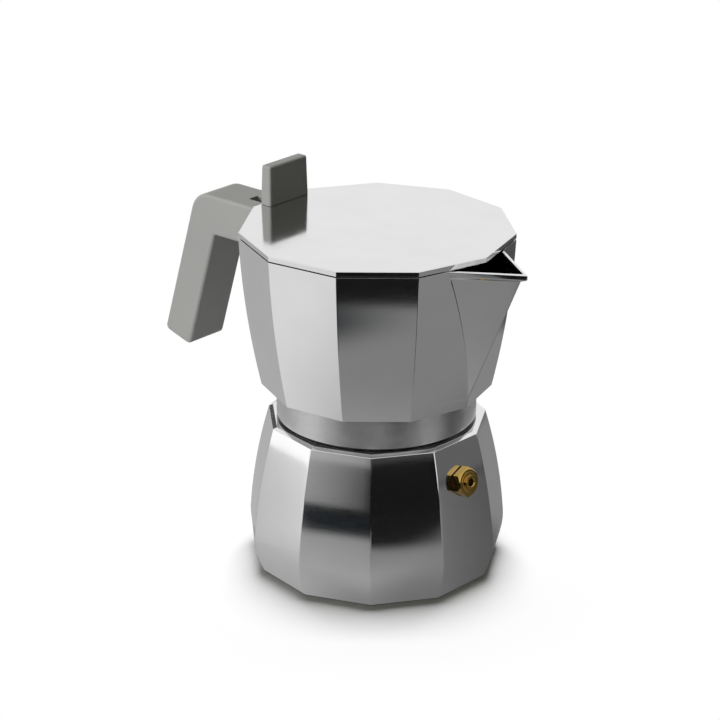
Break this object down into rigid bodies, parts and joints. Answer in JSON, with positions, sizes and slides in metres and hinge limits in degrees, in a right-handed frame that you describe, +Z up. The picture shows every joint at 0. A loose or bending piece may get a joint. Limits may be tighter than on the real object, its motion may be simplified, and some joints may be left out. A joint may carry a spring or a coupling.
{
  "type": "moka pot",
  "caption": "Stove-top moka pot with faceted boiler and jug, hinged flat lid with upright knob, angular spout and one-piece angled handle; unscrews at the neck.",
  "frame": {"origin": "centre of the boiler's base, on the surface that the pot stands on", "axes": "+Z up along the pot's axis, +X towards the spout, the handle on the -X side"},
  "size_m": [0.1871, 0.11, 0.1609],
  "materials": {
    "boiler_aluminium": "satin-polished casting",
    "jug_aluminium": "satin-polished casting",
    "lid_aluminium": "polished",
    "sheet_aluminium": "drawn sheet, matt",
    "brass": "turned, bright",
    "steel": "plain",
    "silicone": "matt off-white",
    "valve_fibre": "matt black",
    "grey_polyamide": "warm grey, satin"
  },
  "bodies": {
    "boiler": {"boiler": "boiler_aluminium", "valve_body": "brass", "valve_washer": "valve_fibre", "valve_seat_ring": "brass", "valve_spring": "steel", "funnel": "sheet_aluminium", "funnel_grid": "sheet_aluminium"},
    "valve_plunger": {"valve_plunger": "steel"},
    "seal": {"gasket": "silicone", "filter_plate": "sheet_aluminium"},
    "jug": {"jug": "jug_aluminium", "coffee_column": "jug_aluminium", "handle": "grey_polyamide", "handle_screw": "steel", "hinge_pin": "steel"},
    "lid": {"lid": "lid_aluminium", "knob": "grey_polyamide", "knob_screws": "steel"}
  },
  "joints": [
    {"name": "jug_turn", "type": "hinge", "parent": "seal", "child": "jug", "pos_m": [0, 0, 0.07], "axis": [0, 0, 1], "range_deg": [0, 900]},
    {"name": "jug_lift", "type": "slide", "parent": "boiler", "child": "seal", "axis": [0, 0, 1], "range_m": [0, 0.0081]},
    {"name": "lid_hinge", "type": "hinge", "parent": "jug", "child": "lid", "pos_m": [-0.0605, 0, 0.137], "axis": [0, -1, 0], "range_deg": [0, 98]},
    {"name": "valve_slide", "type": "slide", "parent": "boiler", "child": "valve_plunger", "axis": [0.9778, -0.041, 0.2053], "range_m": [0, 0.001], "stiffness_N_per_m": 2000, "springref_m": -0.001, "deforming": ["valve_spring"]}
  ],
  "couplings": [
    {"joint": "jug_lift", "follows": "jug_turn", "m_per_rad": 0.0005093}
  ]
}
